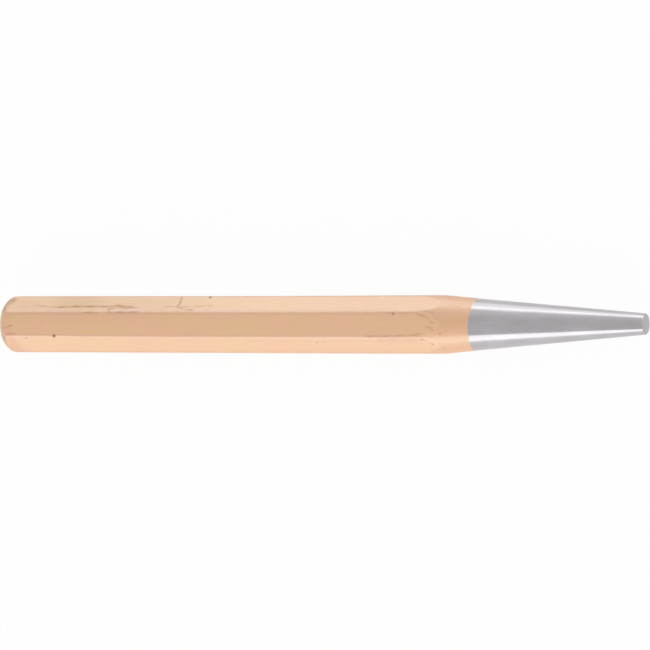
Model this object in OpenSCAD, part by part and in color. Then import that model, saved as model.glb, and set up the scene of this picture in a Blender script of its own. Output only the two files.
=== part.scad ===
// Tapered pin punch: one forged steel blank, turned at the head and ground to a taper at the tip,
// under a coat of copper-coloured lacquer that is ground away again along the working end.
// It is drawn standing on its struck face, then laid along X on one flat, with its tip at +X.

/* [Blank] */
// Length of the steel blank, from its struck face to its tip face
blank_l = 120; // [100:1:200]
// Width of the octagonal shank, from flat to flat
shank_af = 10; // [8:0.5:13]
// How far the long edges of the shank are rubbed down, measured towards the axis
edge_rub = 0.05; // [0.02:0.01:0.15]

/* [Head] */
// Diameter of the flat struck face
face_d = 6.9; // [4:0.1:7.5]
// Radius of the turned rounding that runs from the struck face into the shank
head_r = 3.8; // [3.5:0.1:9]

/* [Taper] */
// Length of the taper, from where it leaves the flats to the tip face
taper_l = 35.5; // [20:0.5:60]
// Diameter of the taper at the tip face, before its edge is broken
tip_d = 3.7; // [1:0.05:6]
// Width of the bevel that breaks the edge of the tip
tip_bevel = 0.12; // [0.05:0.01:0.3]

/* [Lacquer] */
// Thickness of the lacquer coat
lacquer_t = 0.08; // [0.08:0.01:0.2]
// Length of bare ground steel, from the edge of the lacquer to the tip face
bare_l = 31; // [10:0.5:60]

/* [Hidden] */
$fn = 128;

// The shank has eight flats, and an edge lies half a side's angle from the middle of a flat
sides = 8;
half_side_angle = 180 / sides;

// The rubbed edges all lie on one turned radius, which the head and the taper run out of
edge_r = shank_af / 2 / cos(half_side_angle) - edge_rub;

// The rounding of the head is an arc that leaves the edge radius squarely and ends on the face
face_r = face_d / 2;
head_centre_r = edge_r - head_r;
head_l = sqrt(head_r ^ 2 - (face_r - head_centre_r) ^ 2);

// The taper passes through the flats at its start and through the tip's radius at its end
tip_r = tip_d / 2;
taper_slope = (shank_af / 2 - tip_r) / taper_l;
taper_edge_l = (edge_r - tip_r) / taper_slope;

// Cuts run this far past the faces that they go through
overrun = 1;

// Half of the section that the punch is turned to, grown outwards by skin
module turned_outline(skin) {
    arc_r = head_r + skin;
    arc_end_r = head_centre_r + sqrt(arc_r ^ 2 - (head_l + skin) ^ 2);
    // Straight sides: struck face, chord of the rounding, edges, taper and broken edge of the tip
    polygon([
        [0, -skin],
        [arc_end_r, -skin],
        [edge_r + skin, head_l],
        [edge_r + skin, blank_l - taper_edge_l],
        [tip_r + tip_bevel * taper_slope + skin, blank_l - tip_bevel],
        [tip_r - tip_bevel + skin, blank_l],
        [0, blank_l]
    ]);
    // The rounding swells out past its chord
    intersection() {
        translate([head_centre_r, head_l]) circle(r = arc_r);
        translate([0, -skin]) square([edge_r + skin, head_l + skin]);
    }
}

// Octagonal bar that the blank is forged from, with a flat towards each of X and Y
module octagonal_bar(skin) {
    across_corners = (shank_af + 2 * skin) / cos(half_side_angle);
    translate([0, 0, -skin - overrun])
        rotate([0, 0, half_side_angle])
            cylinder(h = blank_l + skin + 2 * overrun, d = across_corners, $fn = sides);
}

// Whole form of the punch, grown by skin: the turned ends run out over the flats in scallops
module punch_form(skin) {
    intersection() {
        octagonal_bar(skin);
        rotate_extrude() turned_outline(skin);
    }
}

// Lays the standing punch on a flat, tip at +X, with the origin under the middle of its length
module lay_down() {
    translate([-(blank_l - lacquer_t) / 2, 0, shank_af / 2 + lacquer_t])
        rotate([0, 90, 0])
            children();
}

module forged_blank() {
    color("darkgray") lay_down() punch_form(0);
}

// Cup-shaped film over the head, the shank and the start of the taper
module lacquer_coat() {
    color("burlywood") lay_down() difference() {
        punch_form(lacquer_t);
        punch_form(0);
        // Everything nearer to the tip is ground bare
        translate([0, 0, blank_l - bare_l]) cylinder(h = bare_l + overrun, r = shank_af);
    }
}

forged_blank();
lacquer_coat();
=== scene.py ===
# Tapered pin punch lying on one of its flats: a forged octagonal blank with a turned head and a ground
# taper, under a coat of copper-coloured lacquer that stops where the bare steel starts.
import math

import bmesh
import bpy
import numpy as np
from mathutils import Matrix, Vector


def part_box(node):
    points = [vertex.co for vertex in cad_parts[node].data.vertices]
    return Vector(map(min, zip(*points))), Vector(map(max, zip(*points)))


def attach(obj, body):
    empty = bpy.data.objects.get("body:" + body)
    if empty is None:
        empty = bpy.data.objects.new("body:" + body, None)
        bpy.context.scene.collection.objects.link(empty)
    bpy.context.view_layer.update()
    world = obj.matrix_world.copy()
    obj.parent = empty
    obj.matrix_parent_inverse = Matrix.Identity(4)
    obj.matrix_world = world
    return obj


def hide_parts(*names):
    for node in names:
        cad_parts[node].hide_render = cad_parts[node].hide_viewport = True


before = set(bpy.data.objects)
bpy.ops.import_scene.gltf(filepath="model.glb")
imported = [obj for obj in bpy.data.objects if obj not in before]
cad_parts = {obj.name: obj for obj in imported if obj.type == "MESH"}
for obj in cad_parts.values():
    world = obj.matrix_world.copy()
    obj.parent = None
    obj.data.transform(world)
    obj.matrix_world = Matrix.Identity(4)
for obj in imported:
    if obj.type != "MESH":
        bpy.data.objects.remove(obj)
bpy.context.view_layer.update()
mm = 0.001

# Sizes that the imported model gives, in metres, with the struck face of the steel as the zero along the punch
blankLow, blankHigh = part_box("forged_blank")
coatLow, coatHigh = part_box("lacquer_coat")
punch = {
    "startX": blankLow.x,
    "axisHeight": (blankLow.z + blankHigh.z) / 2,
    "length": blankHigh.x - blankLow.x,
    "flatDistance": (blankHigh.z - blankLow.z) / 2,
    "coat": blankLow.x - coatLow.x,
    "groundLine": coatHigh.x - blankLow.x,
    # what a box can't give
    "sides": 8,
    "edgeRub": 0.05 * mm,
    "faceDiameter": 6.9 * mm,
    "headRadius": 3.8 * mm,
    "taperLength": 35.5 * mm,
    "tipDiameter": 3.7 * mm,
    "tipBevel": 0.12 * mm,
}
halfSide = math.pi / punch["sides"]
print("frame loaded,", len(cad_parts), "nodes, punch", round(punch["length"] / mm, 2), "mm long")


def hexColour(code, alpha=1.0):
    channels = [int(code[i:i + 2], 16) / 255 for i in (1, 3, 5)]
    linear = [c / 12.92 if c <= 0.04045 else ((c + 0.055) / 1.055) ** 2.4 for c in channels]
    return (*linear, alpha)


def addNode(tree, kind, inputs=None, **settings):
    # An input is a value, a socket, or a node whose first output it takes. A Mix node of colours has them
    # as its inputs 6 and 7, and gives output 2.
    node = tree.nodes.new(kind)
    for name, value in settings.items():
        setattr(node, name, value)
    for key, value in (inputs or {}).items():
        if isinstance(value, bpy.types.Node):
            value = value.outputs[0]
        if isinstance(value, bpy.types.NodeSocket):
            tree.links.new(value, node.inputs[key])
        else:
            node.inputs[key].default_value = value
    return node


# Turned outline: rounding of the head, rubbed edges of the bar and taper, as one radius along the punch
edgeRadius = punch["flatDistance"] / math.cos(halfSide) - punch["edgeRub"]
headCentre = edgeRadius - punch["headRadius"]
headLength = math.sqrt(punch["headRadius"] ** 2 - (punch["faceDiameter"] / 2 - headCentre) ** 2)
tipRadius = punch["tipDiameter"] / 2
taperSlope = (punch["flatDistance"] - tipRadius) / punch["taperLength"]


def turnedRadius(along, skin):
    if along < headLength:
        return headCentre + math.sqrt((punch["headRadius"] + skin) ** 2 - (headLength - along) ** 2)
    return min(edgeRadius, tipRadius + (punch["length"] - along) * taperSlope) + skin


def ringStops(start, end, zones):
    # places along the punch from start to end, spaced as each zone says
    stops = [start]
    for zoneEnd, spacing in zones:
        stretch = min(zoneEnd, end) - stops[-1]
        if stretch > 0:
            count = math.ceil(stretch / spacing)
            stops += list(np.linspace(stops[-1], stops[-1] + stretch, count + 1)[1:])
    return stops


def softCorner(before, corner, after, steps):
    # a short curve in place of a sharp corner of an outline
    curve = []
    for i in range(steps + 1):
        t = i / steps
        curve.append(tuple((1 - t) ** 2 * b + 2 * t * (1 - t) * c + t ** 2 * a
                           for b, c, a in zip(before, corner, after)))
    return curve


# Coat: closed shell with an outer wall, a ground-off rim and an inner wall that lies on the steel
coatForm = {
    "faceRings": 8,
    "faceEdgeSoft": 0.2 * mm,
    "cornerSteps": 5,
    # where each zone ends, and the space between its rings
    "ringZones": [
        (4 * mm, 0.13 * mm),      # turned head
        (7 * mm, 0.3 * mm),
        (42 * mm, 0.2 * mm),      # knocked and scratched stretch
        (74 * mm, 0.35 * mm),
        (90 * mm, 0.2 * mm),      # run-out of the flats
    ],
    "innerZones": [(5 * mm, 0.5 * mm), (78 * mm, 20 * mm), (90 * mm, 1 * mm)],
    "thinStart": 82 * mm,         # the film thins out over the taper
    "thinEnd": 88 * mm,
    "thinFilm": 0.03 * mm,
    "rimLength": 0.16 * mm,       # the grinding wheel leaves the film wedge-shaped here
    "rimSteps": 4,
    "rimLeft": 0.003 * mm,        # film left at the very edge
}


def coatOutline():
    skin = punch["coat"]
    faceEdge = turnedRadius(-skin, skin)
    soft = coatForm["faceEdgeSoft"]
    outline = [(-skin, r, skin) for r in np.linspace(0, faceEdge - soft, coatForm["faceRings"])[:-1]]
    outline += softCorner((-skin, faceEdge - soft, skin), (-skin, faceEdge, skin),
                          (soft, turnedRadius(soft, skin), skin), coatForm["cornerSteps"])
    rimStart = punch["groundLine"] - coatForm["rimLength"]
    for s in ringStops(soft, rimStart, coatForm["ringZones"])[1:]:
        thin = min(max((s - coatForm["thinStart"]) / (coatForm["thinEnd"] - coatForm["thinStart"]), 0), 1)
        eased = thin * thin * (3 - 2 * thin)
        film = skin + eased * (coatForm["thinFilm"] - skin)
        outline.append((s, turnedRadius(s, film), film))
    for i in range(1, coatForm["rimSteps"] + 1):
        t = i / coatForm["rimSteps"]
        s = rimStart + t * coatForm["rimLength"]
        film = coatForm["thinFilm"] + t * (coatForm["rimLeft"] - coatForm["thinFilm"])
        outline.append((s, turnedRadius(s, 0) + film, film))
    outline += [(s, turnedRadius(s, 0), 0.0)
                for s in reversed(ringStops(0.0, punch["groundLine"], coatForm["innerZones"]))]
    outline.append((0.0, 0.0, 0.0))
    return outline


# Steel blank: hidden under the coat for most of its length, bare along the taper
steelForm = {
    "hiddenZones": [(5 * mm, 0.5 * mm), (78 * mm, 20 * mm), (88 * mm, 1 * mm), (120 * mm, 0.25 * mm)],
    "faceRings": 4,
    "bevelWear": 0.06 * mm,       # added to the bevel of the tip by use
    "bevelSoft": 0.04 * mm,
    "cornerSteps": 3,
    "tipRings": 9,
    "crown": 0.08 * mm,           # height of the slightly domed tip face
}


def steelOutline():
    length, soft = punch["length"], steelForm["bevelSoft"]
    bevel = punch["tipBevel"] + steelForm["bevelWear"]
    outline = [(0.0, r, 0.0) for r in np.linspace(0, punch["faceDiameter"] / 2, steelForm["faceRings"])]
    bevelStart = length - bevel
    outline += [(s, turnedRadius(s, 0), 0.0)
                for s in ringStops(0.0, bevelStart - soft, steelForm["hiddenZones"])[1:]]
    shoulder = turnedRadius(bevelStart, 0)
    faceEdge = tipRadius - bevel
    slant = soft / math.sqrt(2)
    outline += softCorner((bevelStart - soft, turnedRadius(bevelStart - soft, 0), 0.0),
                          (bevelStart, shoulder, 0.0),
                          (bevelStart + slant, shoulder - slant, 0.0), steelForm["cornerSteps"])[1:]
    outline += softCorner((length - slant, faceEdge + slant, 0.0), (length, faceEdge, 0.0),
                          (length, faceEdge - soft, 0.0), steelForm["cornerSteps"])
    flatEdge = faceEdge - soft
    outline += [(length + steelForm["crown"] * (1 - (r / flatEdge) ** 2), r, 0.0)
                for r in np.linspace(flatEdge, 0, steelForm["tipRings"])[1:]]
    return outline


# Forging: the inputs of the tree below, by name
forging = {
    "Columns": 28 * punch["sides"],
    "Sides": float(punch["sides"]),
    "Flat Distance": punch["flatDistance"],
    "Edge Softness": 0.09 * mm,
    "Edge Radius": edgeRadius,
    "Head Softness": 0.03 * mm,
    "Side Softness": 0.6 * mm,       # where the side flats run into the head
    "Head Full": 0.3 * mm,           # by which the rounding of the head is fuller on its top and bottom
    "Full At": 1.5 * mm,
    "Full Reach": 1.5 * mm,
    "Run-out Softness": 0.12 * mm,
    "Swell": 0.07 * mm,
    "Swell Start": 40 * mm,
    "Swell End": 84 * mm,
    "Ripple": 0.012 * mm,
    "Ripple Length": 9 * mm,
    "Ripple Width": 0.5,
    "Bow": 0.06 * mm,
    "Bow Start": 15 * mm,
    "Bow Length": 85 * mm,
    "Wide Flat": 0.14 * mm,          # by which the lower edge of the top flat is moved outwards
    "Wide From": -5 * mm,
    "Wide To": 28 * mm,
    "Turning": 0.09 * mm,
    "Turning Length": 1.1 * mm,
    "Turning Width": 0.25,           # in radii of the bar, like that of the ripples
    "Turning Reach": 0.2 * mm,       # step between flat and turning past which it is even
    "Line Wander": 0.35 * mm,
    "Line Tilt": 0.5 * mm,           # further towards the tip on the +Y side
    "Line Start": punch["groundLine"] - 5 * mm,
    "Line End": punch["groundLine"],
    "Taper": taperSlope,
    "Tip Tilt": 0.065,               # as the tangent of the angle
    "Tip From": punch["length"] - 3 * mm,
    "Tip To": punch["length"] - 0.3 * mm,
    "Start": punch["startX"],
    "Axis Height": punch["axisHeight"],
    "Merge": 0.0002 * mm,
}


def forgeTree():
    # turns an outline, whose points hold place along, radius and film, round the axis of the punch, and
    # presses the flats of the bar into it
    tree = bpy.data.node_groups.new("forgeFromOutline", "GeometryNodeTree")
    face = tree.interface
    face.new_socket("Outline", in_out="INPUT", socket_type="NodeSocketGeometry")
    for name, value in forging.items():
        kind = "NodeSocketInt" if isinstance(value, int) else "NodeSocketFloat"
        face.new_socket(name, in_out="INPUT", socket_type=kind)
    face.new_socket("Material", in_out="INPUT", socket_type="NodeSocketMaterial")
    face.new_socket("Geometry", in_out="OUTPUT", socket_type="NodeSocketGeometry")
    given = addNode(tree, "NodeGroupInput").outputs
    crowding = 0.3         # draws the columns to the edges of the bar: 0 for even ones, and under 0.5
    lineLumps = 2.6        # lumps of noise to a radius
    sideShare = 0.3        # squared cosine of the turn at which the softness of the sides has gone
    restPower = 4.0        # the higher, the more of the flats beside the one below swells

    # a flat grid with one row for each point of the outline and one column for each step round the punch
    rings = addNode(tree, "GeometryNodeAttributeDomainSize", {"Geometry": given["Outline"]},
                    component="MESH").outputs["Point Count"]
    columns = addNode(tree, "ShaderNodeMath", {0: given["Columns"], 1: 1.0}, operation="ADD")
    grid = addNode(tree, "GeometryNodeMeshGrid",
                   {"Size X": 1.0, "Size Y": 1.0, "Vertices X": rings, "Vertices Y": columns})
    place = addNode(tree, "ShaderNodeSeparateXYZ",
                    {0: addNode(tree, "GeometryNodeInputPosition")}).outputs
    lastRing = addNode(tree, "ShaderNodeMath", {0: rings, 1: 1.0}, operation="SUBTRACT")
    across = addNode(tree, "ShaderNodeMath", {0: place["X"], 1: 0.5}, operation="ADD")
    ring = addNode(tree, "ShaderNodeMath", {0: across, 1: lastRing}, operation="MULTIPLY")
    ring = addNode(tree, "ShaderNodeMath", {0: ring}, operation="ROUND")
    point = addNode(tree, "GeometryNodeSampleIndex",
                    {"Geometry": given["Outline"], "Index": ring,
                     "Value": addNode(tree, "GeometryNodeInputPosition")},
                    data_type="FLOAT_VECTOR", domain="POINT")
    point = addNode(tree, "ShaderNodeSeparateXYZ", {0: point}).outputs
    along, turned, skin = point["X"], point["Y"], point["Z"]

    # angle round the punch, with the columns closer together towards the edges of the bar
    turn = addNode(tree, "ShaderNodeMath", {0: place["Y"], 1: 0.5}, operation="ADD")
    turn = addNode(tree, "ShaderNodeMath", {0: turn, 1: given["Sides"]}, operation="MULTIPLY")
    side = addNode(tree, "ShaderNodeMath", {0: turn}, operation="ROUND")
    offset = addNode(tree, "ShaderNodeMath", {0: turn, 1: side}, operation="SUBTRACT")
    offset = addNode(tree, "ShaderNodeMath", {0: offset, 1: 2.0}, operation="MULTIPLY")
    square = addNode(tree, "ShaderNodeMath", {0: offset, 1: offset}, operation="MULTIPLY")
    crowd = addNode(tree, "ShaderNodeMath", {0: square, 1: -crowding, 2: 1 + crowding},
                    operation="MULTIPLY_ADD")
    offset = addNode(tree, "ShaderNodeMath", {0: offset, 1: crowd}, operation="MULTIPLY")
    halfAngle = addNode(tree, "ShaderNodeMath", {0: math.pi, 1: given["Sides"]}, operation="DIVIDE")
    offAngle = addNode(tree, "ShaderNodeMath", {0: offset, 1: halfAngle}, operation="MULTIPLY")
    angle = addNode(tree, "ShaderNodeMath", {0: side, 1: 2.0}, operation="MULTIPLY")
    angle = addNode(tree, "ShaderNodeMath", {0: angle, 1: halfAngle, 2: offAngle},
                    operation="MULTIPLY_ADD")

    sine = addNode(tree, "ShaderNodeMath", {0: angle}, operation="SINE")
    cosine = addNode(tree, "ShaderNodeMath", {0: angle}, operation="COSINE")

    # the edge of the coat wanders a little round the taper, and stays on its slope
    about = addNode(tree, "ShaderNodeCombineXYZ", {0: sine, 1: cosine})
    wander = addNode(tree, "ShaderNodeTexNoise",
                     {"Vector": about, "Scale": lineLumps, "Detail": 3.0, "Roughness": 0.6})
    wander = addNode(tree, "ShaderNodeMath", {0: wander, 1: 0.5}, operation="SUBTRACT")
    upper = addNode(tree, "ShaderNodeMath", {0: sine, 1: 0.0}, operation="MAXIMUM")
    upper = addNode(tree, "ShaderNodeMath", {0: upper, 1: given["Line Tilt"]}, operation="MULTIPLY")
    wander = addNode(tree, "ShaderNodeMath", {0: wander, 1: given["Line Wander"], 2: upper},
                     operation="MULTIPLY_ADD")
    nearLine = addNode(tree, "ShaderNodeMapRange",
                       {"Value": along, "From Min": given["Line Start"], "From Max": given["Line End"]},
                       interpolation_type="SMOOTHSTEP")
    wander = addNode(tree, "ShaderNodeMath", {0: wander, 1: nearLine}, operation="MULTIPLY")
    along = addNode(tree, "ShaderNodeMath", {0: along, 1: wander}, operation="ADD")
    drop = addNode(tree, "ShaderNodeMath", {0: wander, 1: given["Taper"]}, operation="MULTIPLY")
    turned = addNode(tree, "ShaderNodeMath", {0: turned, 1: drop}, operation="SUBTRACT")

    # the rounding of the head is fuller towards the top and the bottom of the punch than at its sides
    facing = addNode(tree, "ShaderNodeMath", {0: cosine, 1: cosine}, operation="MULTIPLY")
    away = addNode(tree, "ShaderNodeMath", {0: along, 1: given["Full At"]}, operation="SUBTRACT")
    away = addNode(tree, "ShaderNodeMath", {0: away}, operation="ABSOLUTE")
    fuller = addNode(tree, "ShaderNodeMapRange",
                     {"Value": away, "From Min": 0.0, "From Max": given["Full Reach"],
                      "To Min": given["Head Full"], "To Max": 0.0}, interpolation_type="SMOOTHSTEP")
    fuller = addNode(tree, "ShaderNodeMath", {0: facing, 1: fuller, 2: turned},
                     operation="MULTIPLY_ADD")
    widest = addNode(tree, "ShaderNodeMath", {0: given["Edge Radius"], 1: skin}, operation="ADD")
    turned = addNode(tree, "ShaderNodeMath", {0: fuller, 1: widest}, operation="MINIMUM")
    headSoft = addNode(tree, "ShaderNodeMapRange",
                       {"Value": facing, "From Min": 0.0, "From Max": sideShare,
                        "To Min": given["Side Softness"], "To Max": given["Head Softness"]})

    # noise for the turning, which isn't quite even and meets the flats in a ragged line, and for the long
    # shallow ripples of drawn bar
    lumps = {}
    for name in ("Turning", "Ripple"):
        length, width = given[name + " Length"], given[name + " Width"]
        lump = addNode(tree, "ShaderNodeCombineXYZ", {
            0: addNode(tree, "ShaderNodeMath", {0: along, 1: length}, operation="DIVIDE"),
            1: addNode(tree, "ShaderNodeMath", {0: sine, 1: width}, operation="DIVIDE"),
            2: addNode(tree, "ShaderNodeMath", {0: cosine, 1: width}, operation="DIVIDE"),
        })
        lump = addNode(tree, "ShaderNodeTexNoise", {"Vector": lump, "Scale": 1.0, "Detail": 2.0})
        lump = addNode(tree, "ShaderNodeMath", {0: lump, 1: 0.5}, operation="SUBTRACT")
        lumps[name] = addNode(tree, "ShaderNodeMath", {0: lump, 1: given[name]}, operation="MULTIPLY")

    # distance of the flat, which swells a little where the taper was forged down, but not the flat below
    rise = addNode(tree, "ShaderNodeMapRange",
                   {"Value": along, "From Min": given["Swell Start"], "From Max": given["Swell End"],
                    "To Min": 0.0, "To Max": given["Swell"]}, interpolation_type="SMOOTHSTEP")
    middle = addNode(tree, "ShaderNodeMath", {0: offset, 1: offset}, operation="MULTIPLY")
    middle = addNode(tree, "ShaderNodeMath", {0: 1.0, 1: middle}, operation="SUBTRACT")
    rise = addNode(tree, "ShaderNodeMath", {0: rise, 1: middle}, operation="MULTIPLY")
    below = addNode(tree, "ShaderNodeMath", {0: cosine, 1: 0.0}, operation="MINIMUM")
    below = addNode(tree, "ShaderNodeMath", {0: below, 1: restPower}, operation="POWER")
    free = addNode(tree, "ShaderNodeMath", {0: 1.0, 1: below}, operation="SUBTRACT")
    rise = addNode(tree, "ShaderNodeMath", {0: rise, 1: free}, operation="MULTIPLY")
    flat = addNode(tree, "ShaderNodeMath", {0: given["Flat Distance"], 1: skin}, operation="ADD")
    flat = addNode(tree, "ShaderNodeMath", {0: flat, 1: rise}, operation="ADD")

    # radius of this flat and of the next one, which meet in a soft edge, and then of the turned outline
    here = addNode(tree, "ShaderNodeMath", {0: offAngle}, operation="COSINE")
    here = addNode(tree, "ShaderNodeMath", {0: flat, 1: here}, operation="DIVIDE")
    offSize = addNode(tree, "ShaderNodeMath", {0: offAngle}, operation="ABSOLUTE")
    beyond = addNode(tree, "ShaderNodeMath", {0: halfAngle, 1: 2.0}, operation="MULTIPLY")
    beyond = addNode(tree, "ShaderNodeMath", {0: beyond, 1: offSize}, operation="SUBTRACT")
    beyond = addNode(tree, "ShaderNodeMath", {0: beyond}, operation="COSINE")
    beyond = addNode(tree, "ShaderNodeMath", {0: flat, 1: beyond}, operation="DIVIDE")
    bar = addNode(tree, "ShaderNodeMath", {0: here, 1: beyond, 2: given["Edge Softness"]},
                  operation="SMOOTH_MIN")
    step = addNode(tree, "ShaderNodeMath", {0: turned, 1: bar}, operation="SUBTRACT")
    step = addNode(tree, "ShaderNodeMath", {0: step}, operation="ABSOLUTE")
    atStep = addNode(tree, "ShaderNodeMapRange",
                     {"Value": step, "From Min": 0.0, "From Max": given["Turning Reach"],
                      "To Min": 1.0, "To Max": 0.0})
    turned = addNode(tree, "ShaderNodeMath", {0: lumps["Turning"], 1: atStep, 2: turned},
                     operation="MULTIPLY_ADD")
    soft = addNode(tree, "ShaderNodeMapRange",
                   {"Value": along, "From Min": given["Swell Start"], "From Max": given["Swell End"],
                    "To Min": headSoft, "To Max": given["Run-out Softness"]})
    radius = addNode(tree, "ShaderNodeMath", {0: bar, 1: turned, 2: soft},
                     operation="SMOOTH_MIN")

    # the ripples die away with the radius
    share = addNode(tree, "ShaderNodeMath", {0: radius, 1: given["Flat Distance"]}, operation="DIVIDE")
    radius = addNode(tree, "ShaderNodeMath", {0: lumps["Ripple"], 1: share, 2: radius},
                     operation="MULTIPLY_ADD")

    # the tip was not cut off quite square: it leans back a little towards the top
    lift = addNode(tree, "ShaderNodeMath", {0: radius, 1: cosine}, operation="MULTIPLY")
    lean = addNode(tree, "ShaderNodeMapRange",
                   {"Value": along, "From Min": given["Tip From"], "From Max": given["Tip To"],
                    "To Min": 0.0, "To Max": given["Tip Tilt"]}, interpolation_type="SMOOTHSTEP")
    lean = addNode(tree, "ShaderNodeMath", {0: lift, 1: lean}, operation="MULTIPLY")
    x = addNode(tree, "ShaderNodeMath", {0: along, 1: given["Start"]}, operation="ADD")
    x = addNode(tree, "ShaderNodeMath", {0: x, 1: lean}, operation="SUBTRACT")

    # the bar has a slight bow
    turns = addNode(tree, "ShaderNodeMath", {0: along, 1: given["Bow Start"]}, operation="SUBTRACT")
    turns = addNode(tree, "ShaderNodeMath", {0: turns, 1: 0.0}, operation="MAXIMUM")
    turns = addNode(tree, "ShaderNodeMath", {0: turns, 1: given["Bow Length"]}, operation="DIVIDE")
    turns = addNode(tree, "ShaderNodeMath", {0: turns, 1: math.pi}, operation="MULTIPLY")
    bow = addNode(tree, "ShaderNodeMath", {0: turns}, operation="SINE")
    bow = addNode(tree, "ShaderNodeMath", {0: bow, 1: given["Bow"]}, operation="MULTIPLY")
    y = addNode(tree, "ShaderNodeMath", {0: radius, 1: sine}, operation="MULTIPLY")
    y = addNode(tree, "ShaderNodeMath", {0: y, 1: bow}, operation="SUBTRACT")

    # one edge lies a little lower than the rest, so that the top flat is wider than the others
    fullTurn = 2 * math.pi
    lastEdge = addNode(tree, "ShaderNodeMath", {0: halfAngle, 1: -1.0, 2: fullTurn},
                       operation="MULTIPLY_ADD")
    edgeBefore = addNode(tree, "ShaderNodeMath", {0: halfAngle, 1: -3.0, 2: fullTurn},
                         operation="MULTIPLY_ADD")
    towards = addNode(tree, "ShaderNodeMapRange",
                      {"Value": angle, "From Min": edgeBefore, "From Max": lastEdge})
    beyondIt = addNode(tree, "ShaderNodeMapRange",
                       {"Value": angle, "From Min": fullTurn, "From Max": lastEdge})
    wide = addNode(tree, "ShaderNodeMath", {0: towards, 1: beyondIt}, operation="MULTIPLY")
    grown = addNode(tree, "ShaderNodeMapRange",
                    {"Value": along, "From Min": given["Wide From"], "From Max": given["Wide To"],
                     "To Min": 0.0, "To Max": given["Wide Flat"]}, interpolation_type="SMOOTHSTEP")
    wide = addNode(tree, "ShaderNodeMath", {0: wide, 1: grown}, operation="MULTIPLY")
    y = addNode(tree, "ShaderNodeMath", {0: y, 1: wide}, operation="SUBTRACT")
    z = addNode(tree, "ShaderNodeMath", {0: radius, 1: cosine, 2: given["Axis Height"]},
                operation="MULTIPLY_ADD")
    placed = addNode(tree, "ShaderNodeCombineXYZ", {0: x, 1: y, 2: z})

    # what the finishes follow, kept from before the points move
    besideEdge = addNode(tree, "ShaderNodeMath", {0: offset}, operation="ABSOLUTE")
    offFlat = addNode(tree, "ShaderNodeMath", {0: turned, 1: bar}, operation="SUBTRACT")
    for name, value in (("along", along), ("turn", angle), ("film", skin), ("besideEdge", besideEdge),
                        ("offFlat", offFlat)):
        grid = addNode(tree, "GeometryNodeStoreNamedAttribute",
                       {"Geometry": grid, "Name": name, "Value": value}, data_type="FLOAT",
                       domain="POINT")
    mesh = addNode(tree, "GeometryNodeSetPosition", {"Geometry": grid, "Position": placed})
    mesh = addNode(tree, "GeometryNodeMergeByDistance", {"Geometry": mesh, "Distance": given["Merge"]})
    mesh = addNode(tree, "GeometryNodeSetShadeSmooth", {"Geometry": mesh})
    mesh = addNode(tree, "GeometryNodeRealizeInstances", {"Geometry": mesh})
    mesh = addNode(tree, "GeometryNodeSetMaterial", {"Geometry": mesh, "Material": given["Material"]})
    addNode(tree, "NodeGroupOutput", {"Geometry": mesh})
    return tree


def forgePiece(name, outline, tree, material, **changes):
    values = {**forging, **changes}
    host = bpy.data.meshes.new(name + "Outline")
    host.from_pydata([tuple(p) for p in outline], [], [])
    hostObject = bpy.data.objects.new(name + "Outline", host)
    bpy.context.scene.collection.objects.link(hostObject)
    modifier = hostObject.modifiers.new("forge", "NODES")
    modifier.node_group = tree
    for socket in tree.interface.items_tree:
        if socket.in_out == "INPUT" and socket.name in values:
            modifier[socket.identifier] = values[socket.name]
        elif socket.name == "Material":
            modifier[socket.identifier] = material
    depsgraph = bpy.context.evaluated_depsgraph_get()
    mesh = bpy.data.meshes.new_from_object(hostObject.evaluated_get(depsgraph))
    bpy.data.objects.remove(hostObject)
    bpy.data.meshes.remove(host)
    shell = bmesh.new()
    shell.from_mesh(mesh)
    bmesh.ops.recalc_face_normals(shell, faces=shell.faces)
    shell.to_mesh(mesh)
    shell.free()
    mesh.name = name
    piece = bpy.data.objects.new(name, mesh)
    bpy.context.scene.collection.objects.link(piece)
    print(name, len(mesh.polygons), "faces")
    return piece


def newMaterial(name):
    material = bpy.data.materials.new(name)
    material.use_nodes = True
    material.node_tree.nodes.clear()
    return material, material.node_tree


def drawnNoise(tree, length, width, detail=2.0, roughness=0.5):
    # noise with grains of this length along the punch and this width across it
    place = addNode(tree, "ShaderNodeTexCoord").outputs["Object"]
    place = addNode(tree, "ShaderNodeMapping",
                    {"Vector": place, "Scale": (1 / length, 1 / width, 1 / width)})
    return addNode(tree, "ShaderNodeTexNoise",
                   {"Vector": place, "Scale": 1.0, "Detail": detail, "Roughness": roughness})


lacquerLook = {
    "pink": "#F5AD69",
    "yellow": "#F1B25E",
    "roughness": 0.45,
    "coatRoughness": 0.42,
    "coatIor": 3.2,
    # each spread is how far the noise goes to either side of its middle before the tone is full
    "cloudLength": 9 * mm,
    "cloudWidth": 2.5 * mm,
    "cloudSpread": 0.15,
    "streakLength": 5 * mm,
    "streakWidth": 0.3 * mm,      # drawing lines are finer, but would not show
    "streakSpread": 0.2,
    "streakDark": 0.965,
    "streakLight": 1.03,
    # half of what the colour is multiplied by, at shares of the way from the middle of a flat to its edge
    "edgeTones": [
        (0.78, (0.5, 0.5, 0.5)),
        (0.88, (0.46, 0.45, 0.66)),
        (0.96, (0.49, 0.485, 0.6)),
        (1.0, (0.6, 0.6, 0.6)),
    ],
    "flatStep": 0.06 * mm,        # step below the turning at which a flat has its full edge tones
    # dirt in the marks, and painted shade in the bands of no depth
    "dirtAndShadeTone": "#80300E",
    "chipTone": "#F2D6BC",        # thin film over bright steel
    "stainTone": "#E1E1C2",
    "stainDull": 0.25,            # share of the gloss that a stain takes
    "roundTone": "#F8EBD4",       # thicker film on the turned ends
    "roundStep": 0.05 * mm,
    "lineDark": 0.92,             # dirt where a flat runs out
    "lineWidth": 0.02 * mm,       # of step, about 0.25 mm along the punch
    "lineWithin": 0.86,           # share of the flat's half width
    "lineBreaks": 0.8 * mm,
    "breakSpread": 0.1,
    "bump": 0.006 * mm,
}


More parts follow.
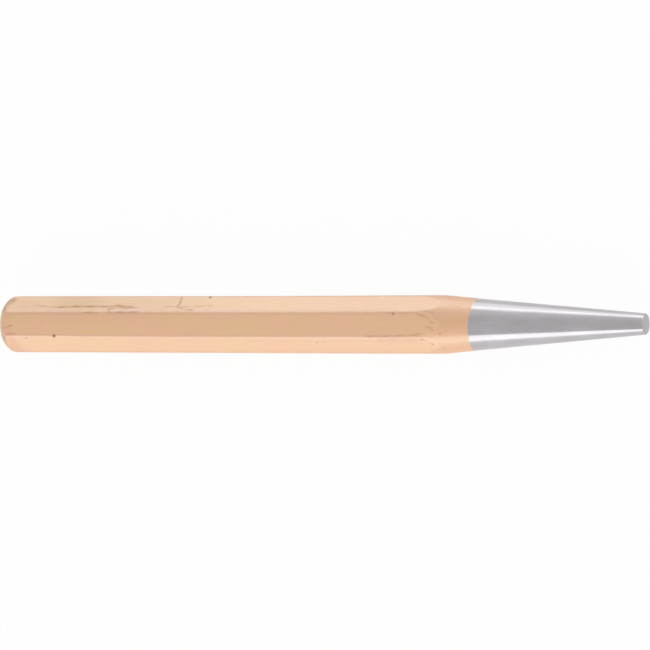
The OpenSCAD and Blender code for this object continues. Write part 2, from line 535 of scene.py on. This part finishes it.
def lacquerMaterial():
    # clear stoving lacquer with a copper tint, dipped over the forged steel: smooth, with a soft gloss that
    # shows the drawing lines below, paler on the edges and a little darker beside them
    look = lacquerLook
    material, tree = newMaterial("copperStovingLacquer")
    attribute = {name: addNode(tree, "ShaderNodeAttribute", attribute_name=name).outputs["Fac"]
                 for name in ("besideEdge", "offFlat", "dirtAndShade", "chip", "stain")}

    cloud = drawnNoise(tree, look["cloudLength"], look["cloudWidth"])
    cloud = addNode(tree, "ShaderNodeMapRange",
                    {"Value": cloud, "From Min": 0.5 - look["cloudSpread"],
                     "From Max": 0.5 + look["cloudSpread"]})
    colour = addNode(tree, "ShaderNodeMix",
                     {0: cloud, 6: hexColour(look["pink"]), 7: hexColour(look["yellow"])},
                     data_type="RGBA").outputs[2]

    streak = drawnNoise(tree, look["streakLength"], look["streakWidth"], 3.0)
    shade = addNode(tree, "ShaderNodeMapRange",
                    {"Value": streak, "From Min": 0.5 - look["streakSpread"],
                     "From Max": 0.5 + look["streakSpread"], "To Min": look["streakDark"],
                     "To Max": look["streakLight"]})

    # paler along the edges and darker and bluer beside them, only where the flats are
    edge = addNode(tree, "ShaderNodeValToRGB", {0: attribute["besideEdge"]})
    ramp = edge.color_ramp.elements
    first, *between, last = look["edgeTones"]
    for stop, (position, tone) in zip(ramp, (first, last)):
        stop.position = position
        stop.color = (*tone, 1)
    for position, tone in between:
        ramp.new(position).color = (*tone, 1)
    onFlat = addNode(tree, "ShaderNodeMapRange",
                     {"Value": attribute["offFlat"], "From Min": -look["flatStep"], "From Max": 0.0})
    edge = addNode(tree, "ShaderNodeVectorMath", {0: edge, "Scale": 2.0}, operation="SCALE")
    edge = addNode(tree, "ShaderNodeMix", {0: onFlat, 6: (1, 1, 1, 1), 7: edge}, data_type="RGBA").outputs[2]
    colour = addNode(tree, "ShaderNodeMix", {0: 1.0, 6: colour, 7: edge}, data_type="RGBA",
                     blend_type="MULTIPLY").outputs[2]

    # broken dark line where a flat runs out into the taper
    line = addNode(tree, "ShaderNodeMath", {0: attribute["offFlat"]}, operation="ABSOLUTE")
    line = addNode(tree, "ShaderNodeMapRange",
                   {"Value": line, "From Min": 0.0, "From Max": look["lineWidth"], "To Min": 1.0,
                    "To Max": 0.0})
    inside = addNode(tree, "ShaderNodeMath", {0: attribute["besideEdge"], 1: look["lineWithin"]},
                     operation="LESS_THAN")
    broken = drawnNoise(tree, look["lineBreaks"], look["lineBreaks"])
    broken = addNode(tree, "ShaderNodeMapRange",
                     {"Value": broken, "From Min": 0.5 - look["breakSpread"],
                      "From Max": 0.5 + look["breakSpread"]})
    line = addNode(tree, "ShaderNodeMath", {0: line, 1: inside}, operation="MULTIPLY")
    line = addNode(tree, "ShaderNodeMath", {0: line, 1: broken}, operation="MULTIPLY")
    line = addNode(tree, "ShaderNodeMapRange", {"Value": line, "To Min": 1.0, "To Max": look["lineDark"]})
    shade = addNode(tree, "ShaderNodeMath", {0: shade, 1: line}, operation="MULTIPLY")
    colour = addNode(tree, "ShaderNodeMix", {0: 1.0, 6: colour, 7: shade}, data_type="RGBA",
                     blend_type="MULTIPLY").outputs[2]

    # turned ends, stains, rubbed film, dirt in the marks and bands of painted shade, one over another
    turned = addNode(tree, "ShaderNodeMapRange",
                     {"Value": attribute["offFlat"], "From Min": 0.0, "From Max": -look["roundStep"]})
    layers = ((turned, "roundTone", "MULTIPLY"), (attribute["stain"], "stainTone", "MULTIPLY"),
              (attribute["chip"], "chipTone", "MIX"), (attribute["dirtAndShade"], "dirtAndShadeTone", "MIX"))
    for share, tone, blend in layers:
        colour = addNode(tree, "ShaderNodeMix", {0: share, 6: colour, 7: hexColour(look[tone])},
                         data_type="RGBA", blend_type=blend).outputs[2]

    lines = addNode(tree, "ShaderNodeBump", {"Strength": 1.0, "Distance": look["bump"], "Height": streak})
    # the coat's gloss fades with the dirt in the marks and with the bands of painted shade
    film = addNode(tree, "ShaderNodeMath", {0: 1.0, 1: attribute["dirtAndShade"]}, operation="SUBTRACT")
    film = addNode(tree, "ShaderNodeMath", {0: attribute["stain"], 1: -look["stainDull"], 2: film},
                   operation="MULTIPLY_ADD")
    surface = addNode(tree, "ShaderNodeBsdfPrincipled",
                      {"Base Color": colour, "Metallic": 0.0, "Roughness": look["roughness"],
                       "Normal": lines, "Coat Weight": film, "Coat Roughness": look["coatRoughness"],
                       "Coat IOR": look["coatIor"], "Coat Normal": lines})
    addNode(tree, "ShaderNodeOutputMaterial", {"Surface": surface})
    return material


steelLook = {
    "bright": "#CBC8CB",
    "dull": "#C1BDC0",
    "spread": 0.2,                # how far each noise goes to either side of its middle
    "cloudLength": 6 * mm,
    "cloudWidth": 2 * mm,
    "ringPitch": 0.25 * mm,       # the wheel's lines are nearer 0.05 mm, but would not show
    "ringLength": 8 * mm,
    "ringBump": 0.002 * mm,
    "roughLow": 0.16,
    "roughHigh": 0.26,
    "faceTone": "#BCB6B7",
    "facePitch": 0.12 * mm,       # lines of the cut-off wheel across the tip face
    "faceLength": 4 * mm,
    "faceTurn": 25,               # degrees
    "faceRough": 0.15,            # added to the roughness there
}


def steelMaterial():
    # hardened chrome-vanadium steel, ground round its axis: bright, with the wheel's fine lines round it
    look = steelLook
    material, tree = newMaterial("groundToolSteel")
    along = addNode(tree, "ShaderNodeAttribute", attribute_name="along").outputs["Fac"]
    cloud = drawnNoise(tree, look["cloudLength"], look["cloudWidth"], 3.0)
    low, high = 0.5 - look["spread"], 0.5 + look["spread"]
    cloud = addNode(tree, "ShaderNodeMapRange", {"Value": cloud, "From Min": low, "From Max": high})
    colour = addNode(tree, "ShaderNodeMix",
                     {0: cloud, 6: hexColour(look["dull"]), 7: hexColour(look["bright"])},
                     data_type="RGBA").outputs[2]
    face = addNode(tree, "ShaderNodeMath", {0: along, 1: punch["length"] - punch["tipBevel"]},
                   operation="GREATER_THAN")
    colour = addNode(tree, "ShaderNodeMix", {0: face, 6: colour, 7: hexColour(look["faceTone"])},
                     data_type="RGBA").outputs[2]
    rings = drawnNoise(tree, look["ringPitch"], look["ringLength"], 2.0, 0.7)
    place = addNode(tree, "ShaderNodeTexCoord").outputs["Object"]
    place = addNode(tree, "ShaderNodeMapping",
                    {"Vector": place, "Rotation": (math.radians(look["faceTurn"]), 0, 0),
                     "Scale": (0, 1 / look["faceLength"], 1 / look["facePitch"])})
    across = addNode(tree, "ShaderNodeTexNoise", {"Vector": place, "Scale": 1.0, "Detail": 2.0})
    rings = addNode(tree, "ShaderNodeMix", {"Factor": face, "A": rings, "B": across})
    rough = addNode(tree, "ShaderNodeMapRange",
                    {"Value": rings, "From Min": low, "From Max": high, "To Min": look["roughLow"],
                     "To Max": look["roughHigh"]})
    rough = addNode(tree, "ShaderNodeMath", {0: face, 1: look["faceRough"], 2: rough},
                    operation="MULTIPLY_ADD")
    lines = addNode(tree, "ShaderNodeBump",
                    {"Strength": 1.0, "Distance": look["ringBump"], "Height": rings})
    surface = addNode(tree, "ShaderNodeBsdfPrincipled",
                      {"Base Color": colour, "Metallic": 1.0, "Roughness": rough, "Normal": lines})
    addNode(tree, "ShaderNodeOutputMaterial", {"Surface": surface})
    return material


# Wear on the lacquer, and bands of painted shade. Each path goes through places given as mm from the struck
# face and degrees round the punch from its top, where + is towards +Y. Lengths, widths, radii and depths are
# in mm, and what has a depth under 0 stands out.
wear = {
    # path, width, depth, and how dark it is, which is dirt in a scratch and painted shade in a band of no
    # depth
    "scratches": [
        ([(7, 42), (9, 39), (11, 36.5)], 0.15, 0.015, 0.4),
        ([(11, 36.5), (15, 38.5), (19.5, 38.5), (22, 38.5), (23, 42), (26, 37)], 0.17, 0.03, 0.68),
        ([(15, 38.5), (20, 39), (24.5, 38.5), (26, 37)], 0.2, 0.03, 0.45),
        ([(26.7, 35), (23, 34.5), (21.5, 32), (21.6, 27)], 0.2, 0.03, 0.5),
        ([(21.7, 24), (24, 23.5), (27.3, 24)], 0.18, 0.02, 0.45),
        ([(16.8, 23), (19.6, 23)], 0.15, 0.02, 0.4),
        ([(34.8, 64), (34.9, 48), (34.5, 38), (36.2, 31), (37.7, 29)], 0.13, 0.03, 0.6),
        ([(32, 38.5), (37.5, 38), (41.2, 41.5)], 0.13, 0.015, 0.4),
        ([(47.5, -33.5), (66.5, -33), (77.5, -32)], 0.14, 0.01, 0.14),
        ([(74, 22), (79.9, 22)], 0.14, 0.01, 0.25),
        ([(70, -21.5), (77.4, -20), (79, -19), (80.5, -17)], 0.14, 0.01, 0.35),
        ([(1.2, 2), (1.1, -8), (2, -6), (3, -1.5)], 0.16, 0.02, 0.45),
        ([(2, -19), (3.5, -18)], 0.16, 0.02, 0.35),
        ([(79.4, 22.5), (80.4, 26), (81.7, 26), (82.8, 22)], 0.16, 0.015, 0.3),
        ([(79.9, 19.5), (81.2, 16), (81.9, 12), (82.3, 6.5), (83, 0.5)], 0.2, 0.02, 0.34),
        ([(82.7, 3), (83.1, 0)], 0.35, 0.01, 0.14),
        ([(81.4, -5.5), (81.9, -3.5), (82.7, -10)], 0.2, 0.02, 0.3),
        ([(81.2, -30.5), (82.3, -38.5)], 0.13, 0.01, 0.3),
        ([(1.2, 32), (1.3, 43), (1.6, 50), (2.2, 57)], 0.65, 0.02, 0.58),
        ([(1.3, 49), (1.7, 55), (1.5, 61)], 0.4, 0.03, 0.75),
        ([(0.8, 33), (1.2, 39)], 0.35, 0.03, 0.5),
        ([(0.8, 15), (1.1, 1), (0.9, -13), (0.8, -28)], 0.4, 0.01, 0.12),
        # painted shade: a broad band of no depth that darkens the top of the head's rounding
        ([(1.8, 12), (2, -14)], 1.1, 0, 0.09),
        ([(0.9, -28), (1.2, -36.5), (1.7, -47), (2.1, -53)], 0.6, 0.02, 0.35),
        ([(80.4, -28.7), (81.2, -28.7)], 0.17, 0.02, 0.5),
        # painted shade: a band of no depth along the flat towards +Y, beside its edge with the top flat
        ([(3, 27), (40, 26.5), (76, 27)], 0.45, 0, 0.1),
        # painted shade: a wider band of no depth further across the same flat, near the head
        ([(3, 35), (12, 35), (25, 35)], 0.7, 0, 0.07),
        # painted shade: a band of no depth on the flat towards -Y, beside its edge with the top flat, near the
        # taper
        ([(73, -28), (77, -28.5), (79.5, -29)], 0.5, 0, 0.15),
        # painted shade: a broad band of no depth on the flat towards -Y by the head
        ([(1.4, -38), (2.8, -45), (3.4, -62)], 1.5, 0, 0.17),
    ],
    # rubbed or lifted film, which looks pale and catches the light: path, width, depth, and how pale
    "lips": [
        ([(22, 28.8), (26.7, 29)], 0.25, -0.04, 0.35),
        ([(33.4, 34), (34.2, 40), (34.5, 50)], 0.14, -0.02, 0.15),
        ([(39.6, 62), (41, 60)], 0.35, 0, 0.3),
        ([(71.8, 62), (73, 62)], 0.25, 0, 0.4),
        ([(75.2, 62), (76.6, 62)], 0.25, 0, 0.4),
        ([(61.2, -37.3), (61.3, -37.3)], 0.4, 0, 0.4),
        ([(81.1, 28.5), (82.1, 32), (83.1, 35)], 0.22, -0.01, 0.3),
        ([(80.6, 22), (81.7, 21), (82.4, 16)], 0.4, 0, 0.12),
        ([(82.8, -39.5), (83, -40.5)], 0.2, 0, 0.4),
        ([(84.2, -45), (84.3, -46)], 0.2, 0, 0.4),
        ([(87.7, 41.2), (88, 41.2)], 0.2, 0, 0.5),
        ([(12.2, -25), (14, -25)], 0.25, 0, 0.2),
    ],
    # place along, degrees round, radius, and how much dirt it holds
    "nicks": [
        (11.2, -22.2, 0.3, 0.95),
        (5.6, -27.2, 0.18, 0.6),
        (3.0, -30.4, 0.16, 0.3),
        (40.2, 65, 0.3, 0.75),
        (75.5, 20.7, 0.22, 0.7),
        (61.2, -37.3, 0.18, 0.6),
        (82.4, -41.8, 0.2, 0.5),
        (84.1, -52.5, 0.18, 0.5),
        (84.1, -16.5, 0.24, 0.32),
        (87.3, 41.2, 0.14, 0.4),
        (8.9, 2, 0.2, 0.2),
        (20.6, -49, 0.2, 0.12),
        (25.6, -49, 0.2, 0.15),
    ],
    "nickDepth": 0.04,
    # middle along and round, reach along and round, strength
    "stains": [
        (5, 48, 7, 28, 0.7),
        (15, 50, 8, 28, 0.95),
        (26, 47, 14, 28, 0.52),
    ],
    "deepest": 0.05,
    "uneven": 0.25,                   # share by which a scratch fades and comes back along its way
    "unevenWaves": 2.3,               # radians of that to a mm
    "besideFace": 0.5,                # where marks start, since a turn means nothing on the struck face
    # knocks of the sides that the picture does not show, drawn between these limits
    "seed": 11,
    "unseenFrom": 75,                 # degrees round from the top, either way
    "unseenScratches": {"count": 40, "place": (4, 80), "length": (0.8, 6), "lean": 4,
                        "width": (0.1, 0.15), "depth": (0.005, 0.02), "dark": (0.1, 0.4)},
    "unseenNicks": {"count": 26, "place": (1, 86), "radius": (0.12, 0.22), "dark": (0.15, 0.6)},
}


def offPath(place, path):
    # least distance in metres from each place, as metres along and radians round, to a path
    metric = np.array([1.0, punch["flatDistance"]])
    best = np.full(len(place), np.inf)
    for (s0, a0), (s1, a1) in zip(path[:-1], path[1:]):
        start = np.array([s0 * mm, math.radians(a0)])
        step = np.array([s1 * mm, math.radians(a1)]) - start
        step[1] = (step[1] + math.pi) % (2 * math.pi) - math.pi
        gap = place - start
        gap[:, 1] = (gap[:, 1] + math.pi) % (2 * math.pi) - math.pi
        span = ((step * metric) ** 2).sum()
        if span > 0:
            share = np.clip(((gap * metric) @ (step * metric)) / span, 0, 1)
        else:
            share = np.zeros(len(place))
        off = (gap - share[:, None] * step) * metric
        best = np.minimum(best, np.hypot(off[:, 0], off[:, 1]))
    return best


def unseenMarks():
    dice = np.random.default_rng(wear["seed"])
    sector = 360 - 2 * wear["unseenFrom"]
    scratches, nicks = [], []
    limits = wear["unseenScratches"]
    for i in range(limits["count"]):
        s = dice.uniform(*limits["place"])
        a = wear["unseenFrom"] + dice.uniform(0, sector)
        length = dice.uniform(*limits["length"])
        scratches.append(([(s, a), (s + length, a + dice.normal(0, limits["lean"]))],
                          dice.uniform(*limits["width"]), dice.uniform(*limits["depth"]),
                          dice.uniform(*limits["dark"])))
    limits = wear["unseenNicks"]
    for i in range(limits["count"]):
        nicks.append((dice.uniform(*limits["place"]), wear["unseenFrom"] + dice.uniform(0, sector),
                      dice.uniform(*limits["radius"]), dice.uniform(*limits["dark"])))
    return scratches, nicks


def pressMarks(piece):
    mesh = piece.data
    count = len(mesh.vertices)
    values = {}
    for name in ("along", "turn", "film"):
        values[name] = np.empty(count, dtype=np.float32)
        mesh.attributes[name].data.foreach_get("value", values[name])
    points = np.empty(count * 3)
    mesh.vertices.foreach_get("co", points)
    points = points.reshape(-1, 3)
    place = np.stack([values["along"], values["turn"]], axis=1).astype(float)
    outer = values["film"] > 0
    dirtAndShade, chip, stain, dip = np.zeros((4, count))
    scratches, nicks = unseenMarks()
    for cuts, shown in ((wear["scratches"] + scratches, dirtAndShade), (wear["lips"], chip)):
        for path, width, depth, tone in cuts:
            near = np.exp(-(offPath(place, path) / (width * mm)) ** 2)
            waves = np.sin(values["along"] / mm * wear["unevenWaves"] + path[0][0])
            uneven = 1 - wear["uneven"] + wear["uneven"] * waves
            np.maximum(shown, tone * near * uneven, out=shown)
            dip += depth * mm * near * uneven
    # a nick has a firmer edge than a scratch
    for s, a, radius, dark in wear["nicks"] + nicks:
        near = np.exp(-(offPath(place, [(s, a), (s, a)]) / (radius * mm)) ** 4)
        dirtAndShade = np.maximum(dirtAndShade, dark * near)
        dip += wear["nickDepth"] * mm * near
    for s, a, length, turn, strength in wear["stains"]:
        gap = (place[:, 1] - math.radians(a) + math.pi) % (2 * math.pi) - math.pi
        reach = np.hypot((place[:, 0] - s * mm) / (length * mm), gap / math.radians(turn))
        stain = np.maximum(stain, strength * np.exp(-reach ** 2))
    besideFace = np.clip(values["along"] / (wear["besideFace"] * mm), 0, 1)
    dirtAndShade, chip, stain = dirtAndShade * besideFace, chip * besideFace, stain * besideFace
    deepest = wear["deepest"] * mm
    dip = np.where(outer, np.clip(dip * besideFace, -deepest, deepest), 0)
    inward = np.stack([np.zeros(count), -np.sin(values["turn"]), -np.cos(values["turn"])], axis=1)
    points += inward * dip[:, None]
    mesh.vertices.foreach_set("co", points.ravel())
    for name, value in (("dirtAndShade", dirtAndShade), ("chip", chip), ("stain", stain)):
        mesh.attributes.new(name, "FLOAT", "POINT").data.foreach_set("value", value.astype(np.float32))
    mesh.update()
    print("wear pressed into", piece.name)


tree = forgeTree()
steel = forgePiece("groundSteelBlank", steelOutline(), tree, steelMaterial(),
                   **{"Line Wander": 0.0, "Line Tilt": 0.0, "Turning": 0.0})
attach(steel, "root")
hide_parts("forged_blank")
coat = forgePiece("copperLacquerCoat", coatOutline(), tree, lacquerMaterial())
pressMarks(coat)
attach(coat, "root")
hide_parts("lacquer_coat")

studio = {
    "floorReach": 3.0,
    "floorWhite": "#FFFFFF",
    "floorLift": 0.95,          # share of the floor that stays white in the shadow
    "mirroredLift": 0.5,        # the same share, as metal shows it
    "horizon": 1.0,
    "zenith": 0.68,
    "headEnd": 0.55,            # share of the light that comes from beyond the head
    "zenithFrom": 0.85,         # sine of the height from which it is as dim as the zenith
    "headEndFrom": (-0.95, -0.5),  # where that share starts and ends, as the way along X
    # way along Y, lowest and highest angle above the floor, brightness, and whether matt surfaces get it too
    "panels": {
        "panelUp": (1, 0, 19, 0.88, False),
        "panelDown": (-1, 11, 43, 0.95, True),
    },
    "panelAway": 0.7,
    "panelLength": 1.6,
    "panelMiddle": -0.2,
    "cardBright": 0.45,
    "cardNear": 19 * mm,
    "cardFar": 150 * mm,
    "cardLength": 0.4,
    "cardHeight": 1 * mm,
}


def makeFloor():
    material, tree = newMaterial("paleFloor")
    rays = addNode(tree, "ShaderNodeLightPath").outputs
    mirrored = addNode(tree, "ShaderNodeMath", {0: rays["Is Glossy Ray"], 1: rays["Is Transmission Ray"]},
                       operation="MAXIMUM")
    mirrored = addNode(tree, "ShaderNodeMath", {0: mirrored, 1: studio["mirroredLift"]},
                       operation="MULTIPLY")
    lift = addNode(tree, "ShaderNodeMath", {0: rays["Is Camera Ray"], 1: studio["floorLift"]},
                   operation="MULTIPLY")
    lift = addNode(tree, "ShaderNodeMath", {0: lift, 1: mirrored}, operation="MAXIMUM")
    white = hexColour(studio["floorWhite"])
    matt = addNode(tree, "ShaderNodeBsdfDiffuse", {"Color": white})
    glow = addNode(tree, "ShaderNodeEmission", {"Color": white, "Strength": 1.0})
    mixed = addNode(tree, "ShaderNodeMixShader", {0: lift, 1: matt, 2: glow})
    addNode(tree, "ShaderNodeOutputMaterial", {"Surface": mixed})
    reach = studio["floorReach"]
    mesh = bpy.data.meshes.new("floor")
    mesh.from_pydata([(-reach, -reach, 0), (reach, -reach, 0), (reach, reach, 0), (-reach, reach, 0)],
                     [], [(0, 1, 2, 3)])
    mesh.materials.append(material)
    floor = bpy.data.objects.new("floor", mesh)
    bpy.context.scene.collection.objects.link(floor)


def makeWorld():
    world = bpy.data.worlds.new("softTent")
    bpy.context.scene.world = world
    world.use_nodes = True
    tree = world.node_tree
    tree.nodes.clear()
    way = addNode(tree, "ShaderNodeTexCoord").outputs["Generated"]
    height = addNode(tree, "ShaderNodeSeparateXYZ", {0: way}).outputs["Z"]
    bright = addNode(tree, "ShaderNodeMapRange",
                     {"Value": height, "From Min": 0.0, "From Max": studio["zenithFrom"],
                      "To Min": studio["horizon"], "To Max": studio["zenith"]})
    beyond = addNode(tree, "ShaderNodeSeparateXYZ", {0: way}).outputs["X"]
    low, high = studio["headEndFrom"]
    beyond = addNode(tree, "ShaderNodeMapRange",
                     {"Value": beyond, "From Min": low, "From Max": high, "To Min": studio["headEnd"],
                      "To Max": 1.0})
    bright = addNode(tree, "ShaderNodeMath", {0: bright, 1: beyond}, operation="MULTIPLY")
    seen = addNode(tree, "ShaderNodeLightPath").outputs["Is Camera Ray"]
    bright = addNode(tree, "ShaderNodeMix", {"Factor": seen, "A": bright, "B": 1.0})
    glow = addNode(tree, "ShaderNodeBackground", {"Color": hexColour("#FFFFFF"), "Strength": bright})
    addNode(tree, "ShaderNodeOutputWorld", {"Surface": glow})


def makeLight(name, place, turn, length, width, bright):
    light = bpy.data.lights.new(name, "AREA")
    light.shape = "RECTANGLE"
    light.size = length
    light.size_y = width
    light.energy = bright * math.pi * length * width
    lamp = bpy.data.objects.new(name, light)
    bpy.context.scene.collection.objects.link(lamp)
    lamp.location = place
    lamp.rotation_euler = (math.radians(turn), 0, 0)
    lamp.visible_camera = False
    return lamp


def makePanel(name, way, low, high, bright, lights):
    # soft box along the punch; way is +1 or -1 along Y, low and high are angles above the floor in degrees
    away = studio["panelAway"]
    bottom = away * math.tan(math.radians(low))
    top = away * math.tan(math.radians(high))
    panel = makeLight(name, (studio["panelMiddle"], way * away, (bottom + top) / 2), -90 * way,
                      studio["panelLength"], top - bottom, bright)
    panel.visible_diffuse = lights


def makeCard():
    # lies on the floor along the punch, and only shows in what mirrors it
    near, far = studio["cardNear"], studio["cardFar"]
    card = makeLight("card", (0, (near + far) / 2, studio["cardHeight"]), 180, studio["cardLength"],
                     far - near, studio["cardBright"])
    card.visible_diffuse = False


view = {
    "lean": 19.5,                # degrees that the tip leans towards the camera
    "distance": 800 * mm,
    "pixelsPerMm": 5.646,        # at the middle of the punch
    "framePixels": 650,
    "middlePixel": (319.2, 324.26),  # where the middle of the punch's axis lies in the frame
    "sensor": 36 * mm,
    "farthest": 20,              # metres that the camera sees
}


def makeCamera():
    lean = math.radians(view["lean"])
    back = Vector((math.sin(lean), 0, math.cos(lean)))
    right = Vector((math.cos(lean), 0, -math.sin(lean)))
    up = Vector((0, 1, 0))
    middle = Vector((punch["startX"] + punch["length"] / 2, 0, punch["axisHeight"]))
    half = view["framePixels"] / 2
    aim = middle + right * (half - view["middlePixel"][0]) / view["pixelsPerMm"] * mm \
        - up * (half - view["middlePixel"][1]) / view["pixelsPerMm"] * mm
    data = bpy.data.cameras.new("camera")
    data.sensor_width = view["sensor"] / mm
    data.lens = view["pixelsPerMm"] / mm * view["distance"] / view["framePixels"] * data.sensor_width
    camera = bpy.data.objects.new("camera", data)
    bpy.context.scene.collection.objects.link(camera)
    camera.matrix_world = Matrix.Translation(aim + back * view["distance"]) @ \
        Matrix((right, up, back)).transposed().to_4x4()
    data.clip_end = view["farthest"]
    bpy.context.scene.camera = camera


makeFloor()
makeWorld()
for name, values in studio["panels"].items():
    makePanel(name, *values)
makeCard()
makeCamera()
bpy.context.scene.view_settings.view_transform = "Standard"
print("floor, light and camera in place")
